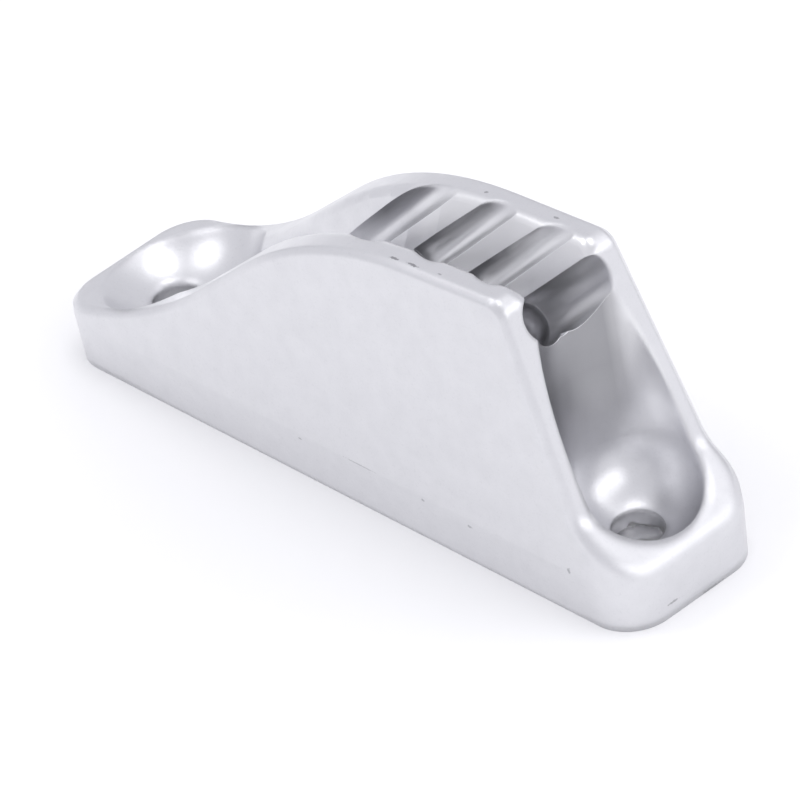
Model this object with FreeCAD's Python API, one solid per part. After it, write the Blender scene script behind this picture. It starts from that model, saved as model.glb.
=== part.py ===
import FreeCAD, Part
import math
import os

# Jam cleat: one die-cast aluminium body that grips a rope in a V groove
# whose walls carry slanting flutes. A screw hole stands in a dish at the low
# end and another in an upright round well at the steep end.
# Units are mm. +X runs along the cleat towards its tall, steep end,
# Z is up, and the origin is the middle of the flat base.

# Footprint and outer walls
LENGTH = 82.0
WIDTH = 18.9
CORNER_R = 4.9
PARTING_Z = 5.5
LOWER_DRAFT = 3.2
UPPER_DRAFT = 3.6

# How far the shapes that cut or trim the body run past it
OVERRUN = 6.0

# Crest line seen from the side
LOW_END_Z = 6.45
LOW_END_SLOPE = 12.5
RAMP_SLOPE = 38.7
RAMP_FOOT_X = -27.0
RAMP_FOOT_R = 46.0
RAMP_HEAD_R = 45.0
TOP_SLOPE = 4.4
PEAK_X = 27.1
PEAK_Z = 33.35
PEAK_R = 2.2
STEEP_SLOPE = 70.6
TAIL_SLOPE = 38.0
TAIL_Z = 6.35
TAIL_R = 4.0
CREST_BEVEL = 0.6
INNER_RIM_R = 1.3
RIM_START_X = -24.0

# Screw holes
HOLE_SPACING = 66.0
HOLE_D = 5.2

# Shallow dish at the low end, part of a ball, and its lowest point
DISH_R = 10.5
DISH_FLOOR_Z = 4.2

# Upright round well with a ball-shaped bottom, at the steep end
WELL_X = 33.8
WELL_R = 6.9
WELL_FLOOR_Z = 4.3
WELL_DRAFT = 0.5

# V groove. Its floor climbs gently towards the steep end.
GROOVE_EXIT_X = 26.8
GROOVE_EXIT_Z = 25.2
GROOVE_SLOPE = 5.5
GROOVE_ANGLE = 25.5
GROOVE_ROOT_R = 1.3

# Channel that climbs from the dish into the groove. Each station gives x, the
# radius of the channel's bottom and the lean of its walls. At BEND_XS it has
# the groove's own section, and only its floor still bends.
RAMP_FLOOR_SLOPE = 31.0
GROOVE_MOUTH_R = 26.0
RAMP_START_R = 5.6
RAMP_START_LEAN = 2.0
STATIONS = [
    (-16.0, 3.6, 10.0),
    (-10.0, 1.9, 20.0),
]
BEND_XS = [-4.5, -1.0, 2.5, 6.5]

# Flutes in both groove walls, all slanting alike. FLUTE_LEVEL_Z is the height
# at which their x is given, and each reach says how far below it one starts.
FLUTE_LEVEL_Z = 32.2
FLUTE_SLANT = 41.5
FLUTE_XS = [7.15, 14.5, 21.85]
FLUTE_REACHES = [11.5, 8.5, 8.5]
FLUTE_R = 1.8
FLUTE_DEPTH = 1.1
FLUTE_TOP_DEPTH = 0.7

# Wide gouge beside the well
LAST_FLUTE_X = 30.9
LAST_FLUTE_REACH = 10.5
LAST_FLUTE_R = 2.7
LAST_FLUTE_DEPTH = 2.55

# Hollow in the underside
CORE_TOP_Z = 14.0
CORE_HALF_BASE = 5.6
CORE_HALF_TOP = 4.0
CORE_X0 = -20.0
CORE_X1 = 21.0
CORE_LIP = 1.0
CORE_LOW_SLOPE = 48.7
CORE_HIGH_SLOPE = 73.0


def tan(deg):
    return math.tan(math.radians(deg))


def sin(deg):
    return math.sin(math.radians(deg))


def cos(deg):
    return math.cos(math.radians(deg))


def vec(x, y, z):
    return FreeCAD.Vector(x, y, z)


def meet(x1, z1, slope1, x2, z2, slope2):
    # point where two straight lines of the side view cross
    x = (z2 - z1 + slope1 * x1 - slope2 * x2) / (slope1 - slope2)
    return (x, z1 + slope1 * (x - x1))


def round_path(points, radii):
    # edges of an open side-view line with each inner corner rounded
    edges = []
    last = points[0]
    for i in range(1, len(points) - 1):
        px, pz = points[i]
        ax, az = points[i - 1]
        bx, bz = points[i + 1]
        da = math.hypot(ax - px, az - pz)
        db = math.hypot(bx - px, bz - pz)
        ua = ((ax - px) / da, (az - pz) / da)
        ub = ((bx - px) / db, (bz - pz) / db)
        half = 0.5 * math.acos(ua[0] * ub[0] + ua[1] * ub[1])
        reach = radii[i - 1] / math.tan(half)
        start = (px + ua[0] * reach, pz + ua[1] * reach)
        end = (px + ub[0] * reach, pz + ub[1] * reach)
        mx = ua[0] + ub[0]
        mz = ua[1] + ub[1]
        mn = math.hypot(mx, mz)
        far = radii[i - 1] / math.sin(half) - radii[i - 1]
        mid = (px + mx / mn * far, pz + mz / mn * far)
        edges.append(Part.makeLine(vec(last[0], 0, last[1]), vec(start[0], 0, start[1])))
        arc = Part.Arc(vec(start[0], 0, start[1]), vec(mid[0], 0, mid[1]), vec(end[0], 0, end[1]))
        edges.append(arc.toShape())
        last = end
    edges.append(Part.makeLine(vec(last[0], 0, last[1]), vec(points[-1][0], 0, points[-1][1])))
    return edges


def crest_points():
    half = LENGTH / 2.0
    low = (-half - OVERRUN, LOW_END_Z - OVERRUN * tan(LOW_END_SLOPE))
    foot = (RAMP_FOOT_X, LOW_END_Z + (RAMP_FOOT_X + half) * tan(LOW_END_SLOPE))
    head = meet(foot[0], foot[1], tan(RAMP_SLOPE), PEAK_X, PEAK_Z, tan(TOP_SLOPE))
    peak = (PEAK_X, PEAK_Z)
    toe = meet(peak[0], peak[1], -tan(STEEP_SLOPE), half, TAIL_Z, -tan(TAIL_SLOPE))
    tail = (half + OVERRUN, TAIL_Z - OVERRUN * tan(TAIL_SLOPE))
    return [low, foot, head, peak, toe, tail]


def side_slab():
    # everything under the crest line, as a slab wider than the body
    pts = crest_points()
    edges = round_path(pts, [RAMP_FOOT_R, RAMP_HEAD_R, PEAK_R, TAIL_R])
    first = vec(pts[0][0], 0, pts[0][1])
    last = vec(pts[-1][0], 0, pts[-1][1])
    low_a = vec(pts[0][0], 0, -OVERRUN)
    low_b = vec(pts[-1][0], 0, -OVERRUN)
    edges.append(Part.makeLine(last, low_b))
    edges.append(Part.makeLine(low_b, low_a))
    edges.append(Part.makeLine(low_a, first))
    face = Part.Face(Part.Wire(edges))
    face.translate(vec(0, -WIDTH, 0))
    return face.extrude(vec(0, 2.0 * WIDTH, 0))


def outline(z, inset):
    # rounded footprint at one height
    hx = LENGTH / 2.0 - inset
    hy = WIDTH / 2.0 - inset
    r = CORNER_R - inset
    k = r * (1.0 - math.sqrt(0.5))
    edges = []
    corners = [(hx, hy, 1, 1), (-hx, hy, -1, 1), (-hx, -hy, -1, -1), (hx, -hy, 1, -1)]
    lines = [
        (vec(hx, -hy + r, z), vec(hx, hy - r, z)),
        (vec(hx - r, hy, z), vec(-hx + r, hy, z)),
        (vec(-hx, hy - r, z), vec(-hx, -hy + r, z)),
        (vec(-hx + r, -hy, z), vec(hx - r, -hy, z)),
    ]
    for i in range(4):
        a, b = lines[i]
        c = lines[(i + 1) % 4][0]
        cx, cy, sx, sy = corners[i]
        mid = vec(cx - sx * k, cy - sy * k, z)
        edges.append(Part.makeLine(a, b))
        edges.append(Part.Arc(b, mid, c).toShape())
    return Part.Wire(edges)


def outer_block():
    # tapered below and above the parting line
    top = PEAK_Z + OVERRUN
    foot = PARTING_Z * tan(LOWER_DRAFT)
    head = (top - PARTING_Z) * tan(UPPER_DRAFT)
    lower = Part.makeLoft([outline(0.0, foot), outline(PARTING_Z, 0.0)], True, True)
    upper = Part.makeLoft([outline(PARTING_Z, 0.0), outline(top, head)], True, True)
    return lower.fuse(upper)


def crest_edges(body):
    # upper rim: edges with one face looking up and one looking sideways
    picked = []
    for edge in body.Edges:
        box = edge.BoundBox
        if box.ZMin < 0.5 * PARTING_Z or abs(box.ZMax - PARTING_Z) + abs(box.ZMin - PARTING_Z) < 0.01:
            continue
        ups = 0
        faces = body.ancestorsOfType(edge, Part.Face)
        mid = edge.valueAt(0.5 * (edge.FirstParameter + edge.LastParameter))
        for face in faces:
            u, v = face.Surface.parameter(mid)
            if face.normalAt(u, v).z > 0.2:
                ups += 1
        if ups == 1:
            picked.append(edge)
    return picked


def plain_body():
    body = outer_block().common(side_slab()).removeSplitter().Solids[0]
    return body.makeChamfer(CREST_BEVEL, crest_edges(body))


def cup_wire(x, floor, r, lean):
    # cross-section of a channel: round bottom and two leaning walls
    top = PEAK_Z + OVERRUN
    yc = r * cos(lean)
    zc = floor + r * (1.0 - sin(lean))
    yt = yc + (top - zc) * tan(lean)
    left = [vec(x, -yc, zc), vec(x, -yt, top)]
    right = [vec(x, yc, zc), vec(x, yt, top)]
    edges = [
        Part.Arc(left[0], vec(x, 0, floor), right[0]).toShape(),
        Part.makeLine(right[0], right[1]),
        Part.makeLine(right[1], left[1]),
        Part.makeLine(left[1], left[0]),
    ]
    return Part.Wire(edges)


def path_height(edges, x):
    # height of a rounded side-view line at one x
    for edge in edges:
        a = edge.valueAt(edge.FirstParameter)
        b = edge.valueAt(edge.LastParameter)
        if min(a.x, b.x) - 1e-9 <= x <= max(a.x, b.x) + 1e-9:
            cut = edge.Curve
            if hasattr(cut, "Radius"):
                dx = x - cut.Center.x
                rise = math.sqrt(max(0.0, cut.Radius ** 2 - dx * dx))
                below = 0.5 * (a.z + b.z) < cut.Center.z
                return cut.Center.z + (-rise if below else rise)
            t = (x - a.x) / (b.x - a.x)
            return a.z + t * (b.z - a.z)
    raise ValueError("x lies outside the path")


def groove_line(x):
    # straight part of the groove floor
    return GROOVE_EXIT_Z + (x - GROOVE_EXIT_X) * tan(GROOVE_SLOPE)


def floor_path():
    # floor of ramp and groove seen from the side; it leaves the dish smoothly
    x0 = -HOLE_SPACING / 2.0 + DISH_R * sin(RAMP_FLOOR_SLOPE)
    z0 = DISH_FLOOR_Z + DISH_R * (1.0 - cos(RAMP_FLOOR_SLOPE))
    x1 = LENGTH / 2.0 + OVERRUN
    top = meet(x0, z0, tan(RAMP_FLOOR_SLOPE), x1, groove_line(x1), tan(GROOVE_SLOPE))
    return round_path([(x0, z0), top, (x1, groove_line(x1))], [GROOVE_MOUTH_R])


def dish():
    # the ball is turned so that its seam faces away from the ramp
    middle = vec(-HOLE_SPACING / 2.0, 0, DISH_FLOOR_Z + DISH_R)
    ball = Part.makeSphere(DISH_R, middle)
    ball.rotate(middle, vec(0, 0, 1), 180.0)
    return ball


def ramp():
    # channel between the dish and the groove
    path = floor_path()
    x0 = path[0].valueAt(path[0].FirstParameter).x
    stations = [(x0, RAMP_START_R, RAMP_START_LEAN)] + STATIONS
    for x in BEND_XS:
        stations.append((x, GROOVE_ROOT_R, GROOVE_ANGLE))
    wires = []
    for x, r, lean in stations:
        wires.append(cup_wire(x, path_height(path, x), r, lean))
    return Part.makeLoft(wires, True, True)


def groove():
    # straight V between the ramp and the steep end
    x0 = BEND_XS[-1]
    x1 = LENGTH / 2.0 + OVERRUN
    path = floor_path()
    low = cup_wire(x0, path_height(path, x0), GROOVE_ROOT_R, GROOVE_ANGLE)
    high = cup_wire(x1, path_height(path, x1), GROOVE_ROOT_R, GROOVE_ANGLE)
    return Part.makeLoft([low, high], True, True)


def well():
    # upright round well that lets the screw and its driver in
    middle = WELL_FLOOR_Z + WELL_R
    height = PEAK_Z + OVERRUN - middle
    wall = Part.makeCone(WELL_R, WELL_R + height * tan(WELL_DRAFT), height, vec(WELL_X, 0, middle))
    return wall.fuse(Part.makeSphere(WELL_R, vec(WELL_X, 0, middle)))


def rim_edges(body):
    # edges where the crest turns down into the ramp and the groove
    picked = []
    for edge in body.Edges:
        mid = edge.valueAt(0.5 * (edge.FirstParameter + edge.LastParameter))
        if not RIM_START_X < mid.x < PEAK_X or edge.BoundBox.XLength < 0.5:
            continue
        crests = 0
        for face in body.ancestorsOfType(edge, Part.Face):
            u, v = face.Surface.parameter(mid)
            n = face.normalAt(u, v)
            if abs(n.y) < 0.01 and n.z > 0.3:
                crests += 1
        if crests == 1 and abs(mid.y) < 0.35 * WIDTH and mid.z > DISH_FLOOR_Z + 4.0:
            picked.append(edge)
    return picked


def wall_point(path, x, z, side):
    # point of a groove wall at one x and height
    rise = z - path_height(path, x) - GROOVE_ROOT_R * (1.0 - sin(GROOVE_ANGLE))
    y = GROOVE_ROOT_R * cos(GROOVE_ANGLE) + rise * tan(GROOVE_ANGLE)
    return vec(x, side * y, z)


def flute(path, x, reach, radius, depth, top_depth, side):
    # one round gouge lying in a groove wall and slanting down to the low end
    low_x = x - reach / tan(FLUTE_SLANT)
    inward = vec(0, -side * cos(GROOVE_ANGLE), sin(GROOVE_ANGLE))
    low = wall_point(path, low_x, FLUTE_LEVEL_Z - reach, side) + inward * (radius - depth)
    high = wall_point(path, x, FLUTE_LEVEL_Z, side) + inward * (radius - top_depth)
    along = (high - low).normalize()
    return low, Part.makeCylinder(radius, 2.0 * reach, low, along)


def flutes():
    path = floor_path()
    cuts = []
    for side in (-1, 1):
        for x, reach in zip(FLUTE_XS, FLUTE_REACHES):
            low, rod = flute(path, x, reach, FLUTE_R, FLUTE_DEPTH, FLUTE_TOP_DEPTH, side)
            cuts.append(rod)
        deep = LAST_FLUTE_DEPTH
        low, rod = flute(path, LAST_FLUTE_X, LAST_FLUTE_REACH, LAST_FLUTE_R, deep, deep, side)
        cuts.append(rod.fuse(Part.makeSphere(LAST_FLUTE_R, low)))
    return cuts


def screw_holes():
    cuts = []
    for side in (-1, 1):
        foot = vec(side * HOLE_SPACING / 2.0, 0, -OVERRUN)
        cuts.append(Part.makeCylinder(HOLE_D / 2.0, DISH_FLOOR_Z + DISH_R + OVERRUN, foot))
    return cuts


def core():
    # hollow that keeps the casting's walls even; seen only from below
    rise = CORE_TOP_Z - CORE_LIP
    side = [
        vec(CORE_X0, 0, -CORE_LIP),
        vec(CORE_X0, 0, CORE_LIP),
        vec(CORE_X0 + rise / tan(CORE_LOW_SLOPE), 0, CORE_TOP_Z),
        vec(CORE_X1 - rise / tan(CORE_HIGH_SLOPE), 0, CORE_TOP_Z),
        vec(CORE_X1, 0, CORE_LIP),
        vec(CORE_X1, 0, -CORE_LIP),
    ]
    slab = Part.Face(Part.makePolygon(side + side[:1]))
    slab.translate(vec(0, -WIDTH, 0))
    slab = slab.extrude(vec(0, 2.0 * WIDTH, 0))
    lean = (CORE_HALF_BASE - CORE_HALF_TOP) / CORE_TOP_Z * CORE_LIP
    low = CORE_HALF_BASE + lean
    high = CORE_HALF_TOP - lean
    front = [
        vec(-LENGTH, -low, -CORE_LIP),
        vec(-LENGTH, low, -CORE_LIP),
        vec(-LENGTH, high, CORE_TOP_Z + CORE_LIP),
        vec(-LENGTH, -high, CORE_TOP_Z + CORE_LIP),
    ]
    bar = Part.Face(Part.makePolygon(front + front[:1])).extrude(vec(2.0 * LENGTH, 0, 0))
    return slab.common(bar)


def cleat():
    body = plain_body()
    for cut in (dish(), ramp(), groove()):
        body = body.cut(cut)
    body = body.Solids[0]
    body = body.makeFillet(INNER_RIM_R, rim_edges(body))
    for cut in [well()] + flutes() + screw_holes() + [core()]:
        body = body.cut(cut)
    return body.Solids[0]


os.makedirs("parts", exist_ok=True)
shape = cleat()
shape.exportStep("parts/cleat_body.step")
print("solids", len(shape.Solids), "valid", shape.isValid(), "volume", round(shape.Volume, 1))
print("box", shape.BoundBox)
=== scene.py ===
import math

import bpy
from mathutils import Matrix, Vector


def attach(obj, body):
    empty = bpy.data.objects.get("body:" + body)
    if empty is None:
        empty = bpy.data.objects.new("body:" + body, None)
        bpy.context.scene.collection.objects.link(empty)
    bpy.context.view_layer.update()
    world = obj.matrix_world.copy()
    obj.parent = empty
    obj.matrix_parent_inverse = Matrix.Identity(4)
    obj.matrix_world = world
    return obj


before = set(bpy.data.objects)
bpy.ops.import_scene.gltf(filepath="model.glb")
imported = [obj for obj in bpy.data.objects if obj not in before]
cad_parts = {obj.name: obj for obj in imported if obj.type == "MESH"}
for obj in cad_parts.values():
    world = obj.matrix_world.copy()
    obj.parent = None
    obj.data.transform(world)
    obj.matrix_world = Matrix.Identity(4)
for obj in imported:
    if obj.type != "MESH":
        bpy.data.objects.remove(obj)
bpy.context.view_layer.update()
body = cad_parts["cleat_body"]
scene = bpy.context.scene

MM = 0.001

# Colours of the metal's finish, then colours of painted light and painted shade
SILVER_LIGHT = (0.745, 0.745, 0.765, 1.0)
SILVER_DULL = (0.715, 0.715, 0.735, 1.0)
SPECK = (0.42, 0.42, 0.44, 1.0)
# Painted light on the well's far wall and on the high hole's upright walls
PAINTED_HIGHLIGHT = (0.92, 0.92, 0.93, 1.0)
# Painted light on the lands between the flutes
LAND_PAINTED_LIGHT = (0.89, 0.89, 0.90, 1.0)
# Painted shade in the flutes
FLUTE_PAINTED_SHADE = (0.27, 0.27, 0.283, 1.0)
# Painted shade on the upper wall of the well
WELL_PAINTED_SHADE = (0.35, 0.35, 0.365, 1.0)
# Painted shade on the level tops of the skin in the high hole
SKIN_PAINTED_SHADE = (0.37, 0.37, 0.385, 1.0)
MARK_TONE = (0.13, 0.13, 0.14, 1.0)

# The clouds and the fine grain of the cast surface
CLOUD_SCALE = 420.0
GRAIN_SCALE = 3600.0
CLOUD_DEPTH = 0.00006
GRAIN_DEPTH = 0.00003
BUMP_STRENGTH = 0.30

# Share of the edges' radius that is left inside the groove
GROOVE_EDGE = 0.15

# Upright axes of the well and of the high hole, in mm
WELL_X = 33.8
HOLE_X = 33.0
HOLE_R = 2.6

# Small dark marks of the casting: middle and half size in mm, and strength
MARKS = [
    ((11.8, -6.95, 32.1), (0.75, 0.22, 0.3), 0.65),
    ((14.4, -6.90, 32.35), (0.85, 0.22, 0.3), 0.65),
    ((18.0, -6.70, 32.6), (0.35, 0.15, 0.3), 0.45),
    ((11.2, 5.9, 32.0), (0.35, 0.2, 0.3), 0.5),
    ((20.9, 6.1, 32.85), (0.45, 0.2, 0.3), 0.5),
    ((3.9, -9.45, 5.5), (2.6, 0.3, 0.10), 0.3),
    ((-4.9, -9.4, 4.9), (0.3, 0.3, 0.15), 0.4),
    ((12.7, -9.4, 5.1), (0.3, 0.3, 0.18), 0.4),
    ((19.2, -9.4, 4.7), (0.35, 0.3, 0.2), 0.4),
    ((33.2, -9.45, 5.6), (0.25, 0.3, 0.4), 0.45),
    ((40.8, -3.6, 1.6), (0.3, 0.9, 0.15), 0.45),
    ((40.7, 1.6, 0.1), (0.3, 1.5, 0.2), 0.3),
]

# Skin of metal in the high hole, in mm and degrees. SKIN_FORWARD points from the
# hole's middle to the arc of wall that the skin lies along. The arc starts at
# ARC_START from there and turns through ARC_SWEEP. Up to JOINED_TO it is joined
# to the wall, and past it a thin gap is left. A torn edge closes the outline.
SKIN_FORWARD = Vector((-0.79, 0.61))
SKIN_ACROSS = Vector((0.61, 0.79))
SKIN_Z = 3.35
SKIN_THICK = 0.22
SKIN_MIDDLE = (-0.9, 0.7, 0.10)
ARC_START = -88.0
ARC_SWEEP = 168.0
ARC_STEPS = 34
JOINED_TO = -20.0
JOINED_BY = 0.04
TORN_HALF = 2.1
TORN_STEPS = 8

# Floor
FLOOR_HALF = 4.0
FLOOR_TONES = (0.97, 0.97, 0.97, 1.0), (0.985, 0.985, 0.985, 1.0)

# Softboxes: name, direction from the cleat, width, height and power
LIGHT_TARGET = Vector((0.0, 0.0, 0.012))
LIGHT_DISTANCE = 0.9
SOFTBOXES = [
    ("overhead", (0.09, 0.11, 0.99), 0.38, 0.38, 1.2),
    ("window_left", (-0.48, -0.38, 0.79), 0.30, 0.34, 0.79),
    ("window_right", (0.89, 0.26, 0.46), 1.05, 0.40, 1.4),
    ("window_high", (0.43, 0.51, 0.75), 0.36, 0.36, 0.20),
]
TENT_COLOR = (0.82, 0.82, 0.865, 1.0)

# Camera fitted to the photo: a long lens, looking down, rolled a little
CAMERA_TARGET = Vector((-0.000256, 0.0, 0.005852))
CAMERA_DISTANCE = 1.0967
CAMERA_AZIMUTH = 52.338
CAMERA_ELEVATION = 35.434
CAMERA_ROLL = -10.191
CAMERA_LENS = 504.93


# One material and its nodes. A value is a node's output or a constant.
class Finish:
    def __init__(self, name):
        self.material = bpy.data.materials.new(name)
        self.material.use_nodes = True
        self.tree = self.material.node_tree
        self.shader = self.tree.nodes["Principled BSDF"]
        self.coords = self.add("ShaderNodeTexCoord").outputs["Object"]

    def add(self, kind, **settings):
        node = self.tree.nodes.new(kind)
        for name, value in settings.items():
            setattr(node, name, value)
        return node

    def put(self, value, socket):
        if isinstance(value, bpy.types.NodeSocket):
            self.tree.links.new(value, socket)
        else:
            socket.default_value = value

    def split(self, vector):
        node = self.add("ShaderNodeSeparateXYZ")
        self.put(vector, node.inputs["Vector"])
        return node.outputs

    def vector_math(self, operation, *values):
        node = self.add("ShaderNodeVectorMath", operation=operation)
        for value, socket in zip(values, node.inputs):
            self.put(value, socket)
        return node.outputs["Value" if operation == "LENGTH" else "Vector"]

    def calc(self, operation, *values):
        node = self.add("ShaderNodeMath", operation=operation)
        for value, socket in zip(values, node.inputs):
            self.put(value, socket)
        return node.outputs["Value"]

    def product(self, *values):
        result = values[0]
        for value in values[1:]:
            result = self.calc("MULTIPLY", result, value)
        return result

    def largest(self, *values):
        result = values[0]
        for value in values[1:]:
            result = self.calc("MAXIMUM", result, value)
        return result

    # Goes from low to high while the value goes from start to stop
    def remap(self, value, start, stop, low=0.0, high=1.0):
        node = self.add("ShaderNodeMapRange")
        node.inputs["From Min"].default_value = start
        node.inputs["From Max"].default_value = stop
        node.inputs["To Min"].default_value = low
        node.inputs["To Max"].default_value = high
        self.put(value, node.inputs["Value"])
        return node.outputs["Result"]

    def noise(self, scale, detail, rough=0.5, offset=(0.0, 0.0, 0.0)):
        shift = self.add("ShaderNodeMapping")
        self.put(self.coords, shift.inputs["Vector"])
        self.put(offset, shift.inputs["Location"])
        node = self.add("ShaderNodeTexNoise")
        self.put(shift.outputs["Vector"], node.inputs["Vector"])
        self.put(scale, node.inputs["Scale"])
        self.put(detail, node.inputs["Detail"])
        self.put(rough, node.inputs["Roughness"])
        return node.outputs["Fac"]

    def mix(self, share, a, b):
        node = self.add("ShaderNodeMix", data_type="RGBA")
        self.put(share, node.inputs["Factor"])
        self.put(a, node.inputs["A"])
        self.put(b, node.inputs["B"])
        return node.outputs["Result"]

    def bump(self, height, normal, depth):
        node = self.add("ShaderNodeBump")
        self.put(BUMP_STRENGTH, node.inputs["Strength"])
        self.put(depth, node.inputs["Distance"])
        self.put(height, node.inputs["Height"])
        self.put(normal, node.inputs["Normal"])
        return node.outputs["Normal"]


# Finish whose shares, from 0 to 1, follow the place on the cleat, in mm
class CleatFinish(Finish):
    def __init__(self, name):
        super().__init__(name)
        axes = self.split(self.coords)
        across = self.calc("ABSOLUTE", axes["Y"])
        self.axes = {"x": axes["X"], "y": axes["Y"], "z": axes["Z"], "across": across}

    def over(self, axis, start, stop, low=0.0, high=1.0):
        return self.remap(self.axes[axis], start * MM, stop * MM, low, high)

    # 1 inside an upright cylinder in the middle plane, 0 outside it
    def within(self, x, inner, outer):
        middle = self.vector_math("SUBTRACT", self.coords, (x * MM, 0.0, 0.0))
        level = self.vector_math("MULTIPLY", middle, (1.0, 1.0, 0.0))
        radius = self.vector_math("LENGTH", level)
        return self.remap(radius, inner * MM, outer * MM, 1.0, 0.0)

    # 1 inside a ragged ellipsoid, 0 outside it
    def spot(self, middle, half, wobble, strength):
        near = self.add("ShaderNodeMapping", vector_type="TEXTURE")
        self.put(self.coords, near.inputs["Vector"])
        self.put([v * MM for v in middle], near.inputs["Location"])
        self.put([v * MM for v in half], near.inputs["Scale"])
        radius = self.vector_math("LENGTH", near.outputs["Vector"])
        return self.remap(self.calc("ADD", radius, wobble), 1.0, 0.6, 0.0, strength)


# Radius of the rounded edges: wide at both ends, almost nothing in the groove
def edge_radius(finish):
    high_end = finish.over("x", 32.0, 37.0, 0.8 * MM, 1.8 * MM)
    low_end = finish.over("x", -24.0, -32.0, 0.0, 0.6 * MM)
    beside = finish.over("across", 4.4, 5.4, GROOVE_EDGE, 1.0)
    beyond = finish.over("x", 28.5, 30.0, GROOVE_EDGE, 1.0)
    below = finish.over("x", -10.0, -14.0, GROOVE_EDGE, 1.0)
    radius = finish.calc("ADD", high_end, low_end)
    return finish.product(radius, finish.largest(beside, beyond, below))


# Painted light: brighter lands between the flutes, and a brighter far end of the last,
# deepest gouge
def painted_light_on_lands(finish):
    inside = finish.over("across", 4.6, 5.4, 1.0, 0.0)
    high = finish.over("z", 21.0, 24.0)
    past_ramp = finish.over("x", 1.0, 5.0)
    lands = finish.over("x", 18.0, 21.0, 1.0, 0.0)
    far = finish.over("y", 1.8, 4.0)
    before_well = finish.over("x", 28.5, 29.5, 1.0, 0.0)
    place = finish.largest(lands, finish.product(far, before_well))
    return finish.product(place, past_ramp, inside, high)


# Painted shade on the walls of the flutes where they face the high end
def painted_shade_in_flutes(finish, facing_x):
    turned = finish.remap(facing_x, -0.12, 0.42)
    inside = finish.over("across", 5.0, 5.6, 1.0, 0.0)
    high = finish.over("z", 14.0, 20.0)
    past_ramp = finish.over("x", -6.0, -2.0)
    flutes = finish.over("x", 16.0, 20.0, 1.0, 0.15)
    far = finish.over("y", -1.0, 0.5, 0.5, 1.0)
    return finish.product(turned, high, flutes, past_ramp, far, inside)


# Upright wall of the well: painted shade higher up, and painted light along its far
# side
def well_shade_and_light(finish, facing_z):
    inside = finish.within(WELL_X, 7.4, 7.8)
    high = finish.over("z", 7.0, 20.0)
    upright = finish.remap(facing_z, 0.06, 0.30, 1.0, 0.0)
    wall = finish.product(inside, high, upright)
    near = finish.over("y", -5.8, -3.0, 0.70, 1.0)
    middle = finish.over("y", 4.0, 6.0, 1.0, 0.0)
    far = finish.over("y", 4.8, 6.2)
    return finish.product(wall, middle, near), finish.product(wall, far)


# Inside the high hole: painted light on the upright walls, and painted shade on the
# level tops of the metal skin
def hole_light_and_shade(finish, facing_z):
    inside = finish.within(HOLE_X, 2.62, 2.68)
    wall = finish.remap(facing_z, 0.3, 0.6, 1.0, 0.0)
    level = finish.remap(facing_z, 0.3, 0.6)
    return finish.product(inside, wall), finish.product(inside, level)


# Satin silver with clouds, a fine grain and edges rounded as cast, with painted light
# and painted shade by place in the groove, the well and the high hole
def cast_alloy():
    finish = CleatFinish("cast_alloy_satin_painted_shade")
    cloud = finish.noise(CLOUD_SCALE, 5.0, 0.6, (0.3, 0.1, 0.7))
    grain = finish.noise(GRAIN_SCALE, 3.0, 0.6, (0.9, 0.4, 0.2))
    edge = finish.add("ShaderNodeBevel", samples=6)
    finish.put(edge_radius(finish), edge.inputs["Radius"])
    normal = edge.outputs["Normal"]
    facing = finish.split(normal)
    well_painted_shade, well_painted_light = well_shade_and_light(finish, facing["Z"])
    hole_wall_painted_light, skin_top_painted_shade = hole_light_and_shade(finish, facing["Z"])
    wobble = finish.remap(grain, 0.3, 0.7, -0.35, 0.35)
    marks = finish.largest(*[
        finish.spot(middle, half, wobble, strength) for middle, half, strength in MARKS
    ])

    tone = finish.mix(finish.remap(cloud, 0.3, 0.7), SILVER_LIGHT, SILVER_DULL)
    # Mixed in by place: painted light on the lands, the well's far wall and the hole
    # walls; painted shade in the flutes, on the upper well wall and on the skin tops.
    # Specks and marks are the metal's own.
    for share, color in (
        (finish.remap(grain, 0.30, 0.44, 0.10, 0.0), SPECK),
        (painted_light_on_lands(finish), LAND_PAINTED_LIGHT),
        (painted_shade_in_flutes(finish, facing["X"]), FLUTE_PAINTED_SHADE),
        (well_painted_shade, WELL_PAINTED_SHADE),
        (well_painted_light, PAINTED_HIGHLIGHT),
        (hole_wall_painted_light, PAINTED_HIGHLIGHT),
        (skin_top_painted_shade, SKIN_PAINTED_SHADE),
        (marks, MARK_TONE),
    ):
        tone = finish.mix(share, tone, color)
    normal = finish.bump(grain, normal, GRAIN_DEPTH)
    normal = finish.bump(cloud, normal, CLOUD_DEPTH)

    inputs = finish.shader.inputs
    finish.put(tone, inputs["Base Color"])
    finish.put(1.0, inputs["Metallic"])
    finish.put(finish.remap(cloud, 0.3, 0.7, 0.28, 0.36), inputs["Roughness"])
    finish.put(normal, inputs["Normal"])
    return finish.material


body.data.materials.clear()
body.data.materials.append(cast_alloy())


# Outline of the metal skin, as lengths forward and across
def skin_outline():
    points = []
    for i in range(ARC_STEPS + 1):
        turn = math.radians(ARC_START + ARC_SWEEP * i / ARC_STEPS)
        if turn < math.radians(JOINED_TO):
            gap = -JOINED_BY
            ragged = 0.0
        else:
            gap = 0.07 + 0.16 * max(0.0, math.sin(turn))
            ragged = 0.05 * math.sin(9.0 * turn) + 0.03 * math.sin(23.0 * turn)
        notch = 0.40 * max(0.0, 1.0 - abs(turn + 0.17) / 0.13)
        reach = HOLE_R - gap - notch + ragged
        points.append((math.cos(turn) * reach, math.sin(turn) * reach))
    # torn edge that runs back across the hole
    for i in range(TORN_STEPS + 1):
        across = TORN_HALF - 2.0 * TORN_HALF * i / TORN_STEPS
        step = 0.12 if across < -1.2 else 0.0
        points.append((0.02 + 0.12 * math.sin(3.1 * across) - step, across))
    return points


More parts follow.
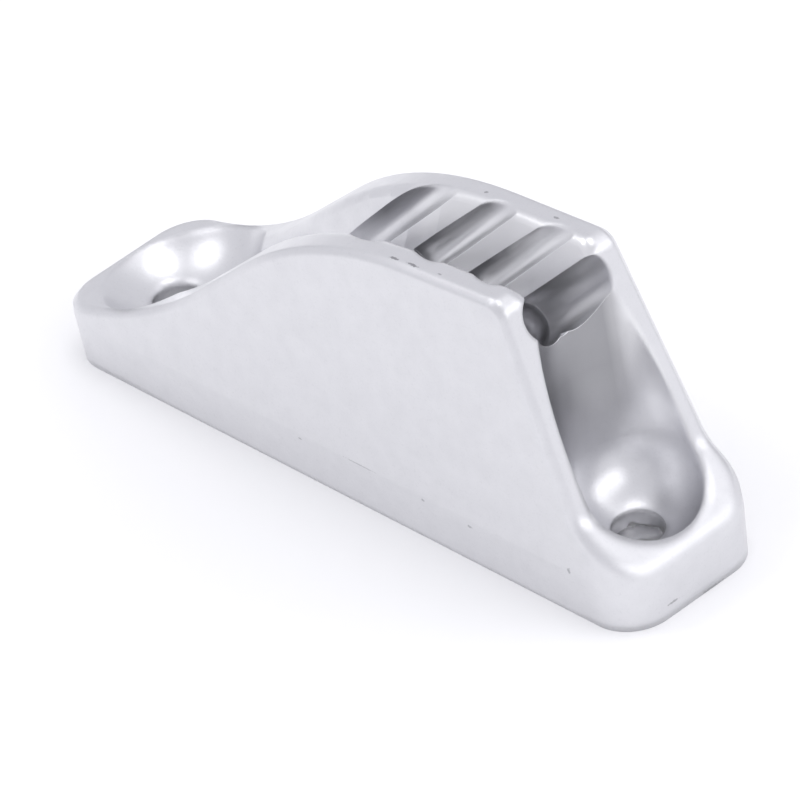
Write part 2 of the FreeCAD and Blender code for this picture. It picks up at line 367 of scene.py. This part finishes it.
# Thin skin of metal left by the casting, across the far half of the high hole
def make_flash_skin():
    hole = Vector((HOLE_X, 0.0))
    outline = skin_outline()
    middle_x, middle_y, middle_lift = SKIN_MIDDLE
    rows = []
    middles = []
    for drop in (0.0, SKIN_THICK):
        for forward, across in outline:
            flat = hole + SKIN_FORWARD * forward + SKIN_ACROSS * across
            lift = 0.12 * math.cos(2.4 * (across + 0.4)) - 0.07 * across
            rows.append(Vector((flat.x, flat.y, SKIN_Z + lift - drop)) * MM)
        middle_z = SKIN_Z + middle_lift - drop
        middles.append(Vector((hole.x + middle_x, hole.y + middle_y, middle_z)) * MM)
    n = len(outline)
    faces = []
    for i in range(n):
        j = (i + 1) % n
        faces.append((i, j, 2 * n))
        faces.append((n + j, n + i, 2 * n + 1))
        faces.append((j, i, n + i, n + j))
    mesh = bpy.data.meshes.new("flash_skin")
    mesh.from_pydata(rows + middles, [], faces)
    mesh.materials.append(body.data.materials[0])
    obj = bpy.data.objects.new("flash_skin", mesh)
    scene.collection.objects.link(obj)
    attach(obj, "root")


make_flash_skin()


def make_floor():
    mesh = bpy.data.meshes.new("floor")
    half = FLOOR_HALF
    corners = [(-half, -half, 0), (half, -half, 0), (half, half, 0), (-half, half, 0)]
    mesh.from_pydata(corners, [], [(0, 1, 2, 3)])
    obj = bpy.data.objects.new("floor", mesh)
    scene.collection.objects.link(obj)
    finish = Finish("floor_white")
    inputs = finish.shader.inputs
    finish.put(finish.mix(finish.noise(30.0, 3.0), *FLOOR_TONES), inputs["Base Color"])
    finish.put(0.9, inputs["Roughness"])
    finish.put(0.0, inputs["Specular IOR Level"])
    mesh.materials.append(finish.material)


make_floor()


def make_softbox(name, toward, width, height, power):
    data = bpy.data.lights.new(name, "AREA")
    data.shape = "RECTANGLE"
    data.size = width
    data.size_y = height
    data.energy = power
    obj = bpy.data.objects.new(name, data)
    direction = Vector(toward).normalized()
    obj.location = LIGHT_TARGET + direction * LIGHT_DISTANCE
    obj.rotation_euler = (-direction).to_track_quat("-Z", "Y").to_euler()
    scene.collection.objects.link(obj)


for softbox in SOFTBOXES:
    make_softbox(*softbox)


# Even light from all sides
def make_tent():
    world = bpy.data.worlds.new("tent")
    scene.world = world
    world.use_nodes = True
    tent = world.node_tree.nodes["Background"]
    tent.inputs["Color"].default_value = TENT_COLOR
    tent.inputs["Strength"].default_value = 1.0


make_tent()


def place_camera():
    azimuth = math.radians(CAMERA_AZIMUTH)
    elevation = math.radians(CAMERA_ELEVATION)
    roll = math.radians(CAMERA_ROLL)
    away = Vector((
        math.sin(azimuth) * math.cos(elevation),
        -math.cos(azimuth) * math.cos(elevation),
        math.sin(elevation),
    ))
    level = Vector((math.cos(azimuth), math.sin(azimuth), 0.0))
    upright = away.cross(level)
    right = math.cos(roll) * level + math.sin(roll) * upright
    up = -math.sin(roll) * level + math.cos(roll) * upright
    data = bpy.data.cameras.new("camera")
    data.sensor_width = 36.0
    data.lens = CAMERA_LENS
    data.clip_end = 20.0
    obj = bpy.data.objects.new("camera", data)
    scene.collection.objects.link(obj)
    turn = Matrix((right, up, away)).transposed().to_4x4()
    obj.matrix_world = Matrix.Translation(CAMERA_TARGET + away * CAMERA_DISTANCE) @ turn
    scene.camera = obj


place_camera()
scene.view_settings.view_transform = "Standard"
